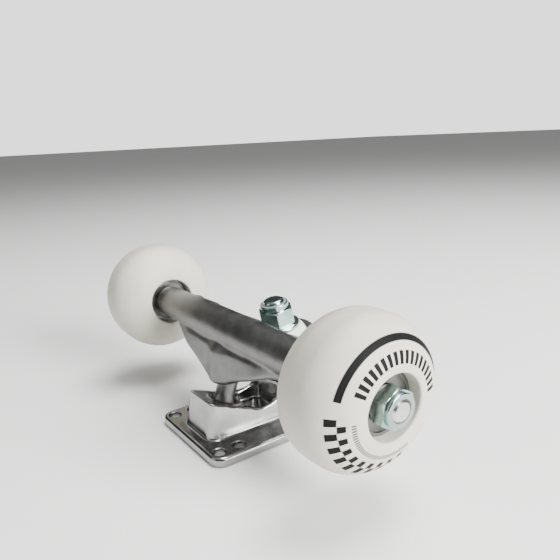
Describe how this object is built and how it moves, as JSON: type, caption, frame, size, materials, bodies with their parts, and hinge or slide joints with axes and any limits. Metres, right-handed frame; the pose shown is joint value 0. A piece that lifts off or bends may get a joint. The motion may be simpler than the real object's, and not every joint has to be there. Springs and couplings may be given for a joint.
{
  "type": "skateboard truck with wheels",
  "caption": "Skateboard truck on its base plate: cast hanger steering on urethane bushings and a pivot cup, with a urethane wheel on ball bearings at each end of the axle.",
  "frame": {"origin": "centre of the long rectangle of deck bolt holes, on the base plate's deck face", "axes": "+X along the axle, towards the right wheel, -Y towards the kingpin, +Y towards the pivot, +Z away from the deck face"},
  "size_m": [0.1916, 0.0747, 0.0723],
  "materials": {
    "baseplate_alloy": "polished cast",
    "hanger_alloy": "satin polished cast",
    "cup_plastic": "moulded",
    "zinc_steel": "bright zinc plated",
    "axle_steel": "ground",
    "washer_steel": "zinc plated",
    "bushing_urethane": "satin",
    "insert_nylon": "moulded",
    "wheel_urethane": "satin urethane",
    "spacer_alloy": "turned",
    "cage_nylon": "moulded",
    "shield_steel": "pressed",
    "bearing_steel": "ground"
  },
  "bodies": {
    "base": {"baseplate": "baseplate_alloy", "pivot_cup": "cup_plastic", "kingpin": "zinc_steel", "bottom_washer": "washer_steel", "bottom_bushing": "bushing_urethane", "top_bushing": "bushing_urethane", "top_washer": "washer_steel", "kingpin_nut": "zinc_steel", "kingpin_nut_insert": "insert_nylon"},
    "hanger": {"hanger": "hanger_alloy", "axle": "axle_steel", "left_inner_speed_washer": "washer_steel", "left_inner_bearing_inner_ring": "bearing_steel", "left_bearing_spacer": "spacer_alloy", "left_outer_bearing_inner_ring": "bearing_steel", "left_outer_speed_washer": "washer_steel", "left_axle_nut": "zinc_steel", "left_axle_nut_insert": "insert_nylon", "right_inner_speed_washer": "washer_steel", "right_inner_bearing_inner_ring": "bearing_steel", "right_bearing_spacer": "spacer_alloy", "right_outer_bearing_inner_ring": "bearing_steel", "right_outer_speed_washer": "washer_steel", "right_axle_nut": "zinc_steel", "right_axle_nut_insert": "insert_nylon"},
    "left_wheel": {"left_wheel": "wheel_urethane", "left_inner_bearing_outer_ring": "bearing_steel", "left_inner_bearing_shields": "shield_steel", "left_outer_bearing_outer_ring": "bearing_steel", "left_outer_bearing_shields": "shield_steel"},
    "right_wheel": {"right_wheel": "wheel_urethane", "right_inner_bearing_outer_ring": "bearing_steel", "right_inner_bearing_shields": "shield_steel", "right_outer_bearing_outer_ring": "bearing_steel", "right_outer_bearing_shields": "shield_steel"},
    "left_inner_cage": {"left_inner_bearing_cage": "cage_nylon", "left_inner_bearing_balls": "bearing_steel"},
    "left_outer_cage": {"left_outer_bearing_cage": "cage_nylon", "left_outer_bearing_balls": "bearing_steel"},
    "right_inner_cage": {"right_inner_bearing_cage": "cage_nylon", "right_inner_bearing_balls": "bearing_steel"},
    "right_outer_cage": {"right_outer_bearing_cage": "cage_nylon", "right_outer_bearing_balls": "bearing_steel"}
  },
  "joints": [
    {"name": "hanger_steer", "type": "hinge", "parent": "base", "child": "hanger", "pos_m": [0, -0.01571, 0.03685], "axis": [0, -0.8184, 0.5747], "range_deg": [-15, 15], "stiffness_Nm_per_rad": 40, "deforming": ["bottom_bushing", "top_bushing"]},
    {"name": "left_wheel_spin", "type": "hinge", "parent": "hanger", "child": "left_wheel", "pos_m": [-0.0765, 0.00937, 0.04554], "axis": [1, 0, 0], "continuous": true},
    {"name": "left_inner_cage_spin", "type": "hinge", "parent": "hanger", "child": "left_inner_cage", "pos_m": [-0.068, 0.00937, 0.04554], "axis": [1, 0, 0], "continuous": true},
    {"name": "left_outer_cage_spin", "type": "hinge", "parent": "hanger", "child": "left_outer_cage", "pos_m": [-0.085, 0.00937, 0.04554], "axis": [1, 0, 0], "continuous": true},
    {"name": "right_wheel_spin", "type": "hinge", "parent": "hanger", "child": "right_wheel", "pos_m": [0.0765, 0.00937, 0.04554], "axis": [1, 0, 0], "continuous": true},
    {"name": "right_inner_cage_spin", "type": "hinge", "parent": "hanger", "child": "right_inner_cage", "pos_m": [0.068, 0.00937, 0.04554], "axis": [1, 0, 0], "continuous": true},
    {"name": "right_outer_cage_spin", "type": "hinge", "parent": "hanger", "child": "right_outer_cage", "pos_m": [0.085, 0.00937, 0.04554], "axis": [1, 0, 0], "continuous": true}
  ],
  "couplings": [
    {"joint": "left_inner_cage_spin", "follows": "left_wheel_spin", "ratio": 0.6323},
    {"joint": "left_outer_cage_spin", "follows": "left_wheel_spin", "ratio": 0.6323},
    {"joint": "right_inner_cage_spin", "follows": "right_wheel_spin", "ratio": 0.6323},
    {"joint": "right_outer_cage_spin", "follows": "right_wheel_spin", "ratio": 0.6323}
  ]
}
